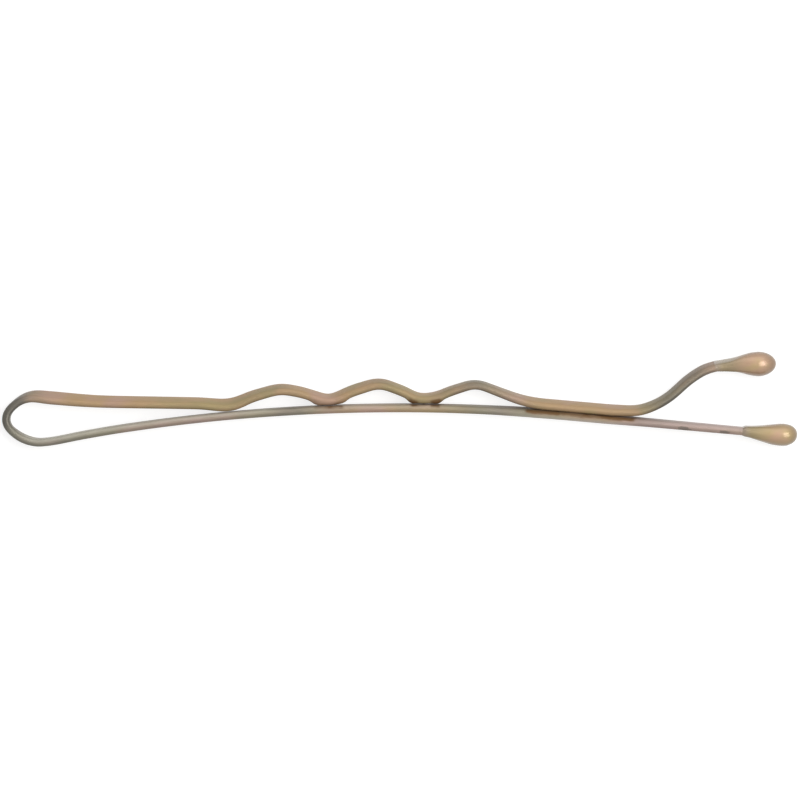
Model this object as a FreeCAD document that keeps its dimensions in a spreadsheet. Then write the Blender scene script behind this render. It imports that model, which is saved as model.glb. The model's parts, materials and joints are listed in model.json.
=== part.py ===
import FreeCAD, Part
import math
import os
import Sketcher

# A bobby pin. One flat spring wire runs from the tip of the plain leg, round a narrow loop,
# and along the crimped leg to its turned-up tip. A drop of lacquer covers each end of the wire.
# The pin lies on its side: +X runs from the loop to the tips, +Y from the plain leg to the
# crimped leg, and +Z along the width of the wire. All sizes are in millimetres or degrees.

doc = FreeCAD.newDocument("BobbyPin")
sheet = doc.addObject("Spreadsheet::Sheet", "Sizes")

SIZES = {
    # The wire, with fully rounded edges, and the pin
    "wire_width": 1.35,
    "wire_thickness": 0.53,
    "pin_length": 51.0,
    # The plain leg bows up, by this much at the middle of the pin, and ends in a straight stretch
    "bow_rise": 2.72,
    "bow_end": 11.0,
    # The loop has a tight nose between two wider shoulders, with short flats between them
    "nose_radius": 1.12,
    "nose_half_angle": 50.0,
    "lower_shoulder_radius": 2.0,
    "upper_shoulder_radius": 2.2,
    "loop_flat": 0.2,
    "loop_lead": 0.3,
    # The crimped leg sags on its way from the loop to the first valley, in one long bend
    "easing_radius": 42.0,
    "easing_angle": 4.5,
    # The crimps: three crests a pitch apart, each with a valley before it
    "crimp_pitch": 6.18,
    "middle_crest_setback": 6.43,
    "first_crest_radius": 2.5,
    "second_crest_radius": 1.85,
    "third_crest_radius": 1.7,
    "first_crest_clearance": 0.87,
    "second_crest_clearance": 0.99,
    "third_crest_clearance": 1.045,
    "first_valley_radius": 3.8,
    "second_valley_radius": 1.7,
    "third_valley_radius": 1.25,
    "first_valley_gap": 0.26,
    "second_valley_gap": 0.23,
    # Where the legs press on each other the model leaves this running gap
    "contact_gap": 0.03,
    # The flat stretch beyond the crimps, and the turned-up mouth
    "landing_radius": 8.0,
    "landing_angle": 21.0,
    "turn_up_radius": 5.2,
    "mouth_angle": 42.0,
    "brow_radius": 4.5,
    "brow_height": 2.74,
    "brow_angle": 2.5,
    # The lacquer tips
    "tip_stagger": 1.35,
    "straight_tip_length": 3.6,
    "straight_tip_height": 1.43,
    "straight_tip_width": 1.72,
    "straight_tip_nose": 0.98,
    "straight_tip_coat": 0.09,
    "crimped_tip_length": 3.15,
    "crimped_tip_height": 1.55,
    "crimped_tip_width": 1.8,
    "crimped_tip_nose": 0.9,
    "crimped_tip_coat": 0.12,
    "end_cover": 0.5,
    "bond_clearance": 0.01,
}

# The middle crest stands this much of the pin's length from the nose, less its setback
MIDDLE_CREST_SHARE = 0.6

# Each valley's distance before its crest, in crimp pitches
VALLEY_SHARES = (0.66, 0.52, 0.526)

# How much of the easing's angle the leg is steeper before it than the line to the first valley
STEEP_SHARE = 0.71

# The flare of a tip from its neck to its fullest section: stations along it, and swelling there
FLARE_STATION_SHARES = (0.0, 0.25, 0.5, 0.75, 0.93, 1.0)
FLARE_SWELL_SHARES = (0.0, 0.14, 0.44, 0.82, 0.985, 1.0)

for row, (alias, number) in enumerate(SIZES.items(), start=1):
    sheet.set(f"A{row}", alias.replace("_", " "))
    sheet.set(f"B{row}", str(number))
    sheet.setAlias(f"B{row}", alias)
doc.recompute()


class Size:
    """A length or angle: the expression that binds it to the sheet, and its present value."""

    def __init__(self, text, value):
        self.text = text
        self.value = value

    def __add__(self, other):
        return Size(f"({self.text} + {other.text})", self.value + other.value)

    def __sub__(self, other):
        return Size(f"({self.text} - {other.text})", self.value - other.value)

    def __mul__(self, other):
        return Size(f"({self.text} * {other.text})", self.value * other.value)

    def __truediv__(self, other):
        return Size(f"({self.text} / {other.text})", self.value / other.value)

    def __neg__(self):
        return Size(f"(0 - {self.text})", -self.value)


def size(alias):
    return Size(f"Sizes.{alias}", float(sheet.get(alias)))


def share(number):
    return Size(str(number), number)


def half(length):
    return length / share(2)


def root(area):
    return Size(f"sqrt({area.text})", math.sqrt(area.value))


def sine(angle):
    return Size(f"sin({angle.text})", math.sin(math.radians(angle.value)))


def cosine(angle):
    return Size(f"cos({angle.text})", math.cos(math.radians(angle.value)))


def slope_of(ratio):
    return Size(f"(asin({ratio.text}) / 1 deg)", math.degrees(math.asin(ratio.value)))


ZERO = share(0)
thickness = size("wire_thickness")
pin_length = size("pin_length")
half_length = half(pin_length)
nose_end = -half_length
bow_rise = size("bow_rise")
bow_radius = (half_length * half_length + bow_rise * bow_rise) / (share(2) * bow_rise)


class Bend:
    """A round bend of the wire's centre line; turn is 1 to the left and -1 to the right."""

    def __init__(self, x, y, radius, turn):
        self.x = x
        self.y = y
        self.radius = radius
        self.turn = turn

    def point(self, heading):
        """The point of the bend where the wire points this way, in radians."""
        reach = self.turn * self.radius.value
        across = reach * math.sin(heading)
        along = reach * math.cos(heading)
        return FreeCAD.Vector(self.x.value + across, self.y.value - along, 0)

    def heading_at(self, station):
        """The heading, in radians, where the bend crosses a station on its way towards +X."""
        return math.asin(self.turn * (station.value - self.x.value) / self.radius.value)


def bow_height(x):
    """The height of the bow's centre line at a station."""
    return root(bow_radius * bow_radius - x * x) - bow_radius


def resting_bend(x, radius, gap):
    """A bend whose lowest point stands a gap above the plain leg's bow, centred at a station."""
    reach = bow_radius + thickness + gap + radius
    return Bend(x, root(reach * reach - x * x) - bow_radius, radius, 1)


def crest_bend(x, radius, clearance):
    """A crest whose underside stands clear above the plain leg."""
    return Bend(x, bow_height(x) + thickness + clearance - radius, radius, -1)


def loop_bends():
    """The lower shoulder, the nose and the upper shoulder, with the nose at the end of the pin."""
    nose_radius = size("nose_radius")
    lower_radius = size("lower_shoulder_radius")
    upper_radius = size("upper_shoulder_radius")
    turn = size("nose_half_angle")
    flat = size("loop_flat")
    lead = size("loop_lead")
    nose_x = nose_end + half(thickness) + nose_radius
    lower_x = nose_x + (lower_radius - nose_radius) * cosine(turn) + flat * sine(turn)
    reach = bow_radius + lower_radius
    lower_y = root(reach * reach + lead * lead - lower_x * lower_x) - bow_radius
    nose_y = lower_y - (lower_radius - nose_radius) * sine(turn) + flat * cosine(turn)
    upper_x = nose_x + (upper_radius - nose_radius) * cosine(turn) + flat * sine(turn)
    upper_y = nose_y - (upper_radius - nose_radius) * sine(turn) + flat * cosine(turn)
    lower = Bend(lower_x, lower_y, lower_radius, -1)
    nose = Bend(nose_x, nose_y, nose_radius, -1)
    upper = Bend(upper_x, upper_y, upper_radius, -1)
    return lower, nose, upper


def easing_bend(shoulder, valley):
    """The long bend that touches a steeper straight from the shoulder and a flatter one to the
    valley, and the station where it runs in line with both ends, which is where the legs flex."""
    radius = size("easing_radius")
    angle = size("easing_angle")
    rise = valley.y - valley.radius - shoulder.y - shoulder.radius
    direct = slope_of(rise / (valley.x - shoulder.x))
    steep = direct - share(STEEP_SHARE) * angle
    flat = steep + angle
    off_shoulder = radius + shoulder.radius - shoulder.x * sine(steep) + shoulder.y * cosine(steep)
    off_valley = radius - valley.radius - valley.x * sine(flat) + valley.y * cosine(flat)
    x = (off_shoulder * cosine(flat) - off_valley * cosine(steep)) / sine(angle)
    y = (off_shoulder * sine(flat) - off_valley * sine(steep)) / sine(angle)
    return Bend(x, y, radius, 1), x + radius * sine(direct)


def crimp_bends():
    """A valley and a crest for each crimp, from the loop towards the tips."""
    pitch = size("crimp_pitch")
    middle_x = nose_end + share(MIDDLE_CREST_SHARE) * pin_length - size("middle_crest_setback")
    gaps = size("first_valley_gap"), size("second_valley_gap"), size("contact_gap")
    bends = []
    for index, order in enumerate(("first", "second", "third")):
        crest_x = middle_x + share(index - 1) * pitch
        valley_x = crest_x - share(VALLEY_SHARES[index]) * pitch
        bends.append(resting_bend(valley_x, size(f"{order}_valley_radius"), gaps[index]))
        crest_radius = size(f"{order}_crest_radius")
        bends.append(crest_bend(crest_x, crest_radius, size(f"{order}_crest_clearance")))
    return bends


def landing_bend(crest):
    """The bend that lays the leg down after the last crest, at the foot of a flank of set slope."""
    radius = size("landing_radius")
    slope = size("landing_angle")
    reach = bow_radius + thickness + size("contact_gap") + radius
    rise = crest.x * sine(slope) + (crest.y + bow_radius) * cosine(slope)
    rise = rise + radius + crest.radius
    run = root(reach * reach - rise * rise)
    x = rise * sine(slope) - run * cosine(slope)
    y = rise * cosine(slope) + run * sine(slope) - bow_radius
    return Bend(x, y, radius, 1)


bow_slope = slope_of(size("bow_end") / bow_radius)
brow_slope = size("brow_angle")


def tip_neck_x(name, end, slope):
    """Where a tip's neck begins, measured back from its end along its leg's last stretch."""
    return end - size(f"{name}_tip_length") * cosine(slope)


crimped_end = half_length - size("tip_stagger")
straight_neck_x = tip_neck_x("straight", half_length, bow_slope)
crimped_neck_x = tip_neck_x("crimped", crimped_end, brow_slope)


def brow_bend():
    """The last bend of the crimped leg, which ends where the lacquer begins."""
    radius = size("brow_radius")
    return Bend(crimped_neck_x + radius * sine(brow_slope), size("brow_height") - radius, radius, -1)


def turn_up_bend(brow):
    """The bend that lifts the leg off the plain leg's straight stretch, up the mouth's slope."""
    radius = size("turn_up_radius")
    slope = size("mouth_angle")
    offset = thickness + size("contact_gap") + radius
    off_leg = bow_radius + offset - bow_radius * cosine(bow_slope)
    off_flare = radius + brow.radius - brow.x * sine(slope) + brow.y * cosine(slope)
    spread = sine(bow_slope + slope)
    x = (off_leg * cosine(slope) - off_flare * cosine(bow_slope)) / spread
    y = (off_leg * sine(slope) + off_flare * sine(bow_slope)) / spread
    return Bend(x, y, radius, 1)


bow = Bend(ZERO, -bow_radius, bow_radius, -1)
loop = loop_bends()
crimps = crimp_bends()
easing, flex_x = easing_bend(loop[-1], crimps[0])
brow = brow_bend()
landing = landing_bend(crimps[-1])
turn_up = turn_up_bend(brow)


def tangent_heading(first, second):
    """The heading of the straight stretch that leaves one bend and enters the next."""
    across = second.x.value - first.x.value
    along = second.y.value - first.y.value
    offset = second.turn * second.radius.value - first.turn * first.radius.value
    return math.atan2(along, across) - math.asin(offset / math.hypot(across, along))


HORIZONTAL_AXIS, VERTICAL_AXIS = range(-1, -3, -1)
START, END, CENTRE = range(1, 4)
ORIGIN = (HORIZONTAL_AXIS, START)


def plane(body, role):
    return next(feature for feature in body.Origin.OriginFeatures if feature.Role == role)


def new_sketch(body, name, role):
    sketch = body.newObject("Sketcher::SketchObject", name)
    sketch.AttachmentSupport = [(plane(body, role), "")]
    sketch.MapMode = "FlatFace"
    return sketch


def dimension(sketch, kind, length, *places):
    """A dimension of a sketch, bound to the sheet."""
    index = sketch.addConstraint(Sketcher.Constraint(kind, *places, float(length.value)))
    sketch.setExpression(f"Constraints[{index}]", length.text)


def draw_bend(sketch, bend, enters, leaves):
    """Draws a bend between two headings, and returns its edge with its two ends in travel order."""
    circle = Part.Circle(FreeCAD.Vector(bend.x.value, bend.y.value, 0), FreeCAD.Vector(0, 0, 1),
                         bend.radius.value)
    quarter = math.pi / 2
    if bend.turn > 0:
        edge = sketch.addGeometry(Part.ArcOfCircle(circle, enters - quarter, leaves - quarter), False)
        ends = START, END
    else:
        edge = sketch.addGeometry(Part.ArcOfCircle(circle, leaves + quarter, enters + quarter), False)
        ends = END, START
    dimension(sketch, "Radius", bend.radius, edge)
    dimension(sketch, "DistanceX", bend.x, *ORIGIN, edge, CENTRE)
    dimension(sketch, "DistanceY", bend.y, *ORIGIN, edge, CENTRE)
    return edge, ends


def draw_line(sketch, start, end):
    return sketch.addGeometry(Part.LineSegment(start, end), False)


def join(sketch, first, first_end, second, second_end):
    sketch.addConstraint(Sketcher.Constraint("Tangent", first, first_end, second, second_end))


def wire_path(body, bends, enters, leaves):
    """Sketches bends joined by straight stretches. The first bend starts at a heading and the last
    one ends at a heading. Returns the sketch with the last edge and its free end."""
    sketch = new_sketch(body, "Path", "XY_Plane")
    straights = [tangent_heading(*pair) for pair in zip(bends, bends[1:])]
    headings = [enters] + straights + [leaves]
    for index in range(1, len(headings)):
        turns = round((headings[index] - headings[index - 1]) / math.tau)
        headings[index] -= turns * math.tau
    edge = None
    for index, bend in enumerate(bends):
        entry = bend.point(headings[index])
        if edge is not None:
            line = draw_line(sketch, leaving, entry)
            join(sketch, edge, ends[1], line, START)
        edge, ends = draw_bend(sketch, bend, headings[index], headings[index + 1])
        if index > 0:
            join(sketch, line, END, edge, ends[0])
        else:
            first_edge, first_ends = edge, ends
        leaving = bend.point(headings[index + 1])
    return sketch, (first_edge, first_ends[0]), (edge, ends[1]), leaving


def at_station(sketch, place, station):
    dimension(sketch, "DistanceX", station, *ORIGIN, *place)


def last_straight(sketch, place, leaving, heading, station):
    """The straight stretch that carries a tip, from the last bend to the end of the wire."""
    run = station.value - leaving.x
    end = FreeCAD.Vector(station.value, leaving.y + run * math.tan(heading), 0)
    line = draw_line(sketch, leaving, end)
    join(sketch, *place, line, START)
    at_station(sketch, (line, END), station)
    return line


def slot_outline(sketch, width, height):
    """A slot with round ends, its length upright, centred on the sketch's origin."""
    radius = half(height)
    lift = half(width) - radius
    side = FreeCAD.Vector(radius.value, 0, 0)
    up = FreeCAD.Vector(0, lift.value, 0)
    axis = FreeCAD.Vector(0, 0, 1)
    right = draw_line(sketch, side - up, side + up)
    top_circle = Part.Circle(up, axis, radius.value)
    top = sketch.addGeometry(Part.ArcOfCircle(top_circle, 0, math.pi), False)
    left = draw_line(sketch, up - side, -up - side)
    bottom_circle = Part.Circle(-up, axis, radius.value)
    bottom = sketch.addGeometry(Part.ArcOfCircle(bottom_circle, math.pi, math.tau), False)
    join(sketch, right, END, top, START)
    join(sketch, top, END, left, START)
    join(sketch, left, END, bottom, START)
    join(sketch, bottom, END, right, START)
    sketch.addConstraint(Sketcher.Constraint("Vertical", right))
    dimension(sketch, "Radius", radius, top)
    for place in ((top, CENTRE), (bottom, CENTRE)):
        sketch.addConstraint(Sketcher.Constraint("PointOnObject", *place, VERTICAL_AXIS))
    dimension(sketch, "DistanceY", lift, *ORIGIN, top, CENTRE)
    dimension(sketch, "DistanceY", lift, bottom, CENTRE, *ORIGIN)


def sweep_wire(body, path, first_bend):
    """Sweeps the wire's section along a path, square to the path's first edge at its free end."""
    doc.recompute()
    section = body.newObject("Sketcher::SketchObject", "Section")
    section.AttachmentSupport = [(path, "Edge1")]
    section.MapMode = "NormalToEdge"
    section.MapPathParameter = 0 if first_bend.turn > 0 else 1
    slot_outline(section, size("wire_width"), thickness)
    doc.recompute()
    pipe = body.newObject("PartDesign::AdditivePipe", "Sweep")
    pipe.Profile = section
    pipe.Spine = (path, [])
    pipe.Mode = "Binormal"
    pipe.Binormal = FreeCAD.Vector(0, 0, 1)
    doc.recompute()


def new_body(label):
    body = doc.addObject("PartDesign::Body", label)
    body.Label = label
    return body


def make_straight_leg():
    """From the flexing point along the bow, and straight on into the tip."""
    body = new_body("straight_leg")
    enters = bow.heading_at(flex_x)
    leaves = bow.heading_at(size("bow_end"))
    path, start, end, leaving = wire_path(body, [bow], enters, leaves)
    at_station(path, start, flex_x)
    at_station(path, end, size("bow_end"))
    wire_end = half_length - size("end_cover") * cosine(bow_slope)
    last_straight(path, end, leaving, leaves, wire_end)
    sweep_wire(body, path, bow)
    return body


def make_spring_bend():
    """From the plain leg's flexing point, back along the bow, round the loop and out again."""
    body = new_body("spring_bend")
    bow_back = Bend(ZERO, -bow_radius, bow_radius, 1)
    bends = [bow_back, *loop, easing]
    enters = math.pi - math.asin(flex_x.value / bow_radius.value)
    leaves = easing.heading_at(flex_x)
    path, start, end, leaving = wire_path(body, bends, enters, leaves)
    at_station(path, start, flex_x)
    at_station(path, end, flex_x)
    sweep_wire(body, path, bow_back)
    return body


def make_crimped_leg():
    """From the flexing point over the crimps and the flat stretch, and up into the other tip."""
    body = new_body("crimped_leg")
    bends = [easing, *crimps, landing, turn_up, brow]
    enters = easing.heading_at(flex_x)
    leaves = math.radians(brow_slope.value)
    path, start, end, leaving = wire_path(body, bends, enters, leaves)
    at_station(path, start, flex_x)
    at_station(path, end, crimped_neck_x)
    wire_end = crimped_end - size("end_cover") * cosine(brow_slope)
    last_straight(path, end, leaving, leaves, wire_end)
    sweep_wire(body, path, easing)
    return body


def oval_section(body, name, station, height, width):
    """An oval across a tip at a station along it, with its height and its width."""
    sketch = new_sketch(body, name, "YZ_Plane")
    sketch.AttachmentOffset = FreeCAD.Placement(FreeCAD.Vector(0, 0, station.value),
                                                FreeCAD.Rotation())
    sketch.setExpression("AttachmentOffset.Base.z", station.text)
    across = FreeCAD.Vector(half(height).value, 0, 0)
    upright = FreeCAD.Vector(0, half(width).value, 0)
    lying = height.value > width.value
    ends = (across, upright) if lying else (upright, across)
    oval = sketch.addGeometry(Part.Ellipse(*ends, FreeCAD.Vector(0, 0, 0)), False)
    sketch.exposeInternalGeometry(oval)
    major = oval + 1
    minor = oval + 2
    sketch.addConstraint(Sketcher.Constraint("Coincident", oval, CENTRE, *ORIGIN))
    sketch.addConstraint(Sketcher.Constraint("Horizontal" if lying else "Vertical", major))
    dimension(sketch, "Distance", height if lying else width, major)
    dimension(sketch, "Distance", width if lying else height, minor)
    return sketch


def make_tip(name):
    """A drop of lacquer along +X: a neck that coats the wire, a flare, and a rounded nose."""
    body = new_body(f"{name}_leg_tip")
    length = size(f"{name}_tip_length")
    nose = size(f"{name}_tip_nose")
    height = size(f"{name}_tip_height")
    width = size(f"{name}_tip_width")
    coats = share(2) * size(f"{name}_tip_coat")
    neck_height = thickness + coats
    neck_width = size("wire_width") + coats
    flare = length - nose
    ovals = []
    for order, (along, swell) in enumerate(zip(FLARE_STATION_SHARES, FLARE_SWELL_SHARES)):
        oval_height = neck_height + share(swell) * (height - neck_height)
        oval_width = neck_width + share(swell) * (width - neck_width)
        station = share(along) * flare
        ovals.append(oval_section(body, f"Oval{order}", station, oval_height, oval_width))
    doc.recompute()
    loft = body.newObject("PartDesign::AdditiveLoft", "Flare")
    loft.Profile = ovals[0]
    loft.Sections = ovals[1:]
    doc.recompute()
    front = body.newObject("PartDesign::AdditiveEllipsoid", "Nose")
    front.AttachmentSupport = [(plane(body, "YZ_Plane"), "")]
    front.MapMode = "FlatFace"
    front.setExpression("AttachmentOffset.Base.z", flare.text)
    front.setExpression("Radius1", nose.text)
    front.setExpression("Radius2", half(height).text)
    front.setExpression("Radius3", half(width).text)
    doc.recompute()
    mouth = new_sketch(body, "WireHole", "YZ_Plane")
    clearance = share(2) * size("bond_clearance")
    slot_outline(mouth, size("wire_width") + clearance, thickness + clearance)
    depth = length - size("end_cover") + size("bond_clearance")
    doc.recompute()
    hole = body.newObject("PartDesign::Pocket", "Hole")
    hole.Profile = mouth
    hole.Reversed = True
    hole.setExpression("Length", depth.text)
    doc.recompute()
    return body


def place_on_leg(tip, neck, slope):
    """Sets a tip on the end of its leg, along the leg's last stretch."""
    tip.Placement = FreeCAD.Placement(neck, FreeCAD.Rotation(FreeCAD.Vector(0, 0, 1), slope.value))


def stand_at_origin(bodies):
    """Moves the whole pin so that the origin is at the bottom centre of its box."""
    box = Part.makeCompound([body.Shape for body in bodies]).optimalBoundingBox()
    shift = FreeCAD.Vector(-box.Center.x, -box.Center.y, -box.ZMin)
    for body in bodies:
        body.Placement.Base = body.Placement.Base + shift
    return shift


def check(bodies):
    """Stops before anything is written if a feature has failed or a sub-part is no sound solid."""
    for item in doc.Objects:
        if "Invalid" in item.State or "Error" in item.State:
            raise RuntimeError(f"{item.Label} is {item.State}")
    for body in bodies:
        if body.Shape.isNull() or not body.Shape.isValid() or len(body.Shape.Solids) != 1:
            raise RuntimeError(f"{body.Label} is not one sound solid")


straight_leg = make_straight_leg()
spring_bend = make_spring_bend()
crimped_leg = make_crimped_leg()
straight_leg_tip = make_tip("straight")
crimped_leg_tip = make_tip("crimped")

bow_foot = bow.point(bow.heading_at(size("bow_end")))
straight_run = straight_neck_x.value - bow_foot.x
straight_drop = straight_run * math.tan(math.radians(bow_slope.value))
straight_neck = FreeCAD.Vector(straight_neck_x.value, bow_foot.y - straight_drop, 0)
crimped_neck = brow.point(math.radians(brow_slope.value))
place_on_leg(straight_leg_tip, straight_neck, -bow_slope)
place_on_leg(crimped_leg_tip, crimped_neck, brow_slope)

sub_parts = (straight_leg, spring_bend, crimped_leg, straight_leg_tip, crimped_leg_tip)
check(sub_parts)
shift = stand_at_origin(sub_parts)
doc.recompute()
check(sub_parts)

print("plain leg flexes at", bow.point(bow.heading_at(flex_x)) + shift)
print("crimped leg flexes at", easing.point(easing.heading_at(flex_x)) + shift)

os.makedirs("parts", exist_ok=True)
for body in sub_parts:
    body.Shape.exportStep(f"parts/{body.Label}.step")
    print(body.Label, "volume", round(body.Shape.Volume, 3), body.Shape.optimalBoundingBox())
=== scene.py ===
import json
import math

import bpy
import numpy as np
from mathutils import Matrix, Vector


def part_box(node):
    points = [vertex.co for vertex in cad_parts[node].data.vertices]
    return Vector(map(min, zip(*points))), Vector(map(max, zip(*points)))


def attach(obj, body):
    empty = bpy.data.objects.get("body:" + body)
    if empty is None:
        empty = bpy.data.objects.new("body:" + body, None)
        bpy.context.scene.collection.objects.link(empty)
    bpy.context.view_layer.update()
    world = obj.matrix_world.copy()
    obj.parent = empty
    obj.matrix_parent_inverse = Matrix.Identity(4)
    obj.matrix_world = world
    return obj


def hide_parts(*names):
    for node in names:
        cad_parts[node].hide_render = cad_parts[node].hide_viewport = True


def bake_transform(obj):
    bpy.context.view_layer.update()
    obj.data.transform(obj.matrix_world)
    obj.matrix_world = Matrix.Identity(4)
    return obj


# A lacquered bobby pin, lying on its side on a white table and seen from straight above.
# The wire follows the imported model's line of bends. Here it also has crowned faces, rounded
# edges and its twist, and a drop of lacquer on each end. Sizes are in millimetres and degrees.

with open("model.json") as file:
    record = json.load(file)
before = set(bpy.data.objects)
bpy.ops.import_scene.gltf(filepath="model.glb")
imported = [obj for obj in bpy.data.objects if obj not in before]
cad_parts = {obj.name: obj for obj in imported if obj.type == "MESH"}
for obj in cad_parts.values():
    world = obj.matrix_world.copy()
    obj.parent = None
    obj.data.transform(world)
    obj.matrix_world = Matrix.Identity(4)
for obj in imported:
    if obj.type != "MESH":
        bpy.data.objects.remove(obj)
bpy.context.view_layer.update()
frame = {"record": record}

MM = 0.001

# The wire, how far its faces are crowned, and how much its bending widens its inner side
WIRE_WIDTH = 1.35
WIRE_THICKNESS = 0.53
FACE_CROWN = 0.02
CROSS_STRAIN = 0.3

# The line of bends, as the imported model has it
PIN_LENGTH = 51.0
BOW_RISE = 2.72
BOW_END = 11.0
NOSE_RADIUS = 1.12
NOSE_HALF_ANGLE = 50.0
LOWER_SHOULDER_RADIUS = 2.0
UPPER_SHOULDER_RADIUS = 2.2
LOOP_FLAT = 0.2
LOOP_LEAD = 0.3
EASING_RADIUS = 42.0
EASING_ANGLE = 4.5
STEEP_SHARE = 0.71
CRIMP_PITCH = 6.18
MIDDLE_CREST_X = -1.33
VALLEY_SHARES = (0.66, 0.52, 0.526)
VALLEY_RADII = (3.8, 1.7, 1.25)
VALLEY_GAPS = (0.26, 0.23, 0.03)
CREST_RADII = (2.5, 1.85, 1.7)
CREST_CLEARANCES = (0.87, 0.99, 1.045)
CONTACT_GAP = 0.03
LANDING_RADIUS = 8.0
LANDING_ANGLE = 21.0
TURN_UP_RADIUS = 5.2
MOUTH_ANGLE = 42.0
BROW_RADIUS = 4.5
BROW_HEIGHT = 2.74
BROW_ANGLE = 2.5
BROW_END_X = 21.0
WIRE_ENDS_X = (25.0, 23.65)

# How finely the line and the wire's outline are drawn, and how far the bends run together
STEP = 0.12
SMOOTHING_ROUNDS = 4
FACE_POINTS = 9
EDGE_POINTS = 13

# The twist of the wire, in degrees, by the way from the nose: minus is along the plain leg
TWISTS = (
    (-51.0, -2.0), (-46.0, -4.5), (-41.0, -6.5), (-38.5, -12.0), (-34.0, -12.5),
    (-31.0, -8.0), (-27.5, -6.5), (-22.0, -5.5), (-18.0, -5.0), (-13.0, -4.0), (-7.5, -4.5),
    (-4.0, -4.0), (-2.4, -4.0), (-1.6, -7.0), (-0.9, -7.0), (-0.3, -2.0), (0.0, 0.0),
    (0.6, 4.0), (1.0, 8.0), (1.6, 18.0), (2.4, 25.5), (4.0, 24.5), (6.0, 21.0),
    (12.7, 19.5), (14.4, 25.0), (16.0, 18.0), (19.4, 16.0), (20.9, 17.0), (22.4, 19.0),
    (24.1, 15.5), (27.1, 13.0), (28.6, 11.0), (30.3, 8.5), (31.7, 10.5), (34.0, 16.5),
    (38.3, 16.5), (39.4, 16.5), (40.9, 14.0), (41.9, 11.5), (43.0, 12.0), (44.0, 13.0),
    (46.0, 14.0), (47.3, 11.0), (51.0, 8.0),
)
TWIST_BLUR = 0.6

# How far the wire lies off the model's line of bends, by the way from the nose: plus is out
# from the pin and minus is in, towards the other leg
NUDGES = (
    (-51.0, 0.0), (-7.0, 0.03), (-5.2, 0.05), (-4.5, 0.06), (-4.0, 0.08), (-3.5, 0.09),
    (-3.0, 0.09), (-2.45, 0.055), (-2.0, -0.01), (-1.6, -0.085), (-1.1, -0.13),
    (-0.7, -0.13), (-0.35, -0.12), (-0.12, -0.07), (0.0, -0.01), (0.3, -0.03), (0.8, 0.0),
    (1.3, 0.03), (1.8, 0.02), (2.6, -0.01), (3.6, 0.0), (12.4, 0.0), (13.4, -0.07),
    (14.2, -0.14), (14.8, -0.14), (15.8, 0.0), (19.0, 0.0), (20.6, -0.19), (22.2, 0.0),
    (25.5, 0.0), (26.1, -0.07), (26.6, 0.0), (27.2, 0.0), (27.7, -0.08), (28.4, 0.0),
    (39.5, 0.0), (40.2, -0.09), (40.8, -0.14), (41.4, -0.12), (42.6, -0.09), (44.0, -0.07),
    (44.8, 0.0), (46.0, 0.0), (51.0, 0.0),
)
NUDGE_BLUR = 0.4

# The dirt and painted shade in the crevice where the legs touch, on both legs: the ways it
# starts and ends, how far it fades there, how strong it is, and between which places of the
# thickness it sets in, from 0 in the wire's middle to 1 at the face, on the plain leg and on
# the crimped leg
CONTACTS = (
    (19.9, 20.3, 0.25, 0.55, (-0.2, 0.8), (-0.1, 0.7)),
    (20.3, 21.1, 0.3, 0.50, (-0.2, 0.8), (0.6, 1.1)),
    (21.1, 21.5, 0.25, 0.55, (-0.2, 0.8), (-0.1, 0.7)),
    (26.05, 26.35, 0.2, 1.00, (0.1, 0.9), (-0.2, 0.5)),
    (26.35, 27.35, 0.15, 0.60, (0.2, 1.0), (0.7, 1.1)),
    (27.3, 27.7, 0.2, 1.00, (0.1, 0.9), (-0.2, 0.5)),
    (33.4, 35.4, 0.4, 1.00, (0.0, 0.5), (1.0, 1.2)),
    (33.5, 39.9, 0.4, 0.85, (0.0, 0.6), (1.0, 1.2)),
    (38.9, 40.1, 0.4, 1.00, (0.0, 0.5), (1.0, 1.2)),
)

# Below the wire's upper edge the ends of the dirt and painted shade wander along the wire, in
# two waves: each has its height in points of the line, its pace up the width and its start.
# They set in below STAIN_EDGE, over STAIN_FADE.
STAIN_WAVES = ((3.6, 6.0, 1.0), (2.6, 15.0, 2.0))
STAIN_EDGE = 0.45
STAIN_FADE = 0.35

# Lumps of old lacquer under the valleys, where the legs touch: how far they stand off the
# inner face, by the way from the nose, and between which places of the thickness they set in
LUMPS = (
    (19.5, 0.0), (19.95, 0.15), (20.2, 0.12), (20.5, 0.0), (20.9, 0.0), (21.2, 0.08),
    (21.5, 0.13), (21.9, 0.0), (25.8, 0.0), (26.05, 0.14), (26.25, 0.12), (26.5, 0.0),
    (27.1, 0.0), (27.35, 0.11), (27.65, 0.16), (27.95, 0.0),
)
LUMP_BLUR = 0.12
LUMP_PLACES = (0.1, 0.9)

# The crimped leg stands on the plain leg, on its lower edge, between these ways from the nose,
# with this gap
STANDING_SPAN = (26.0, 41.0)
STANDING_RAMP = 1.6
CLOSE_GAP = 0.012
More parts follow.
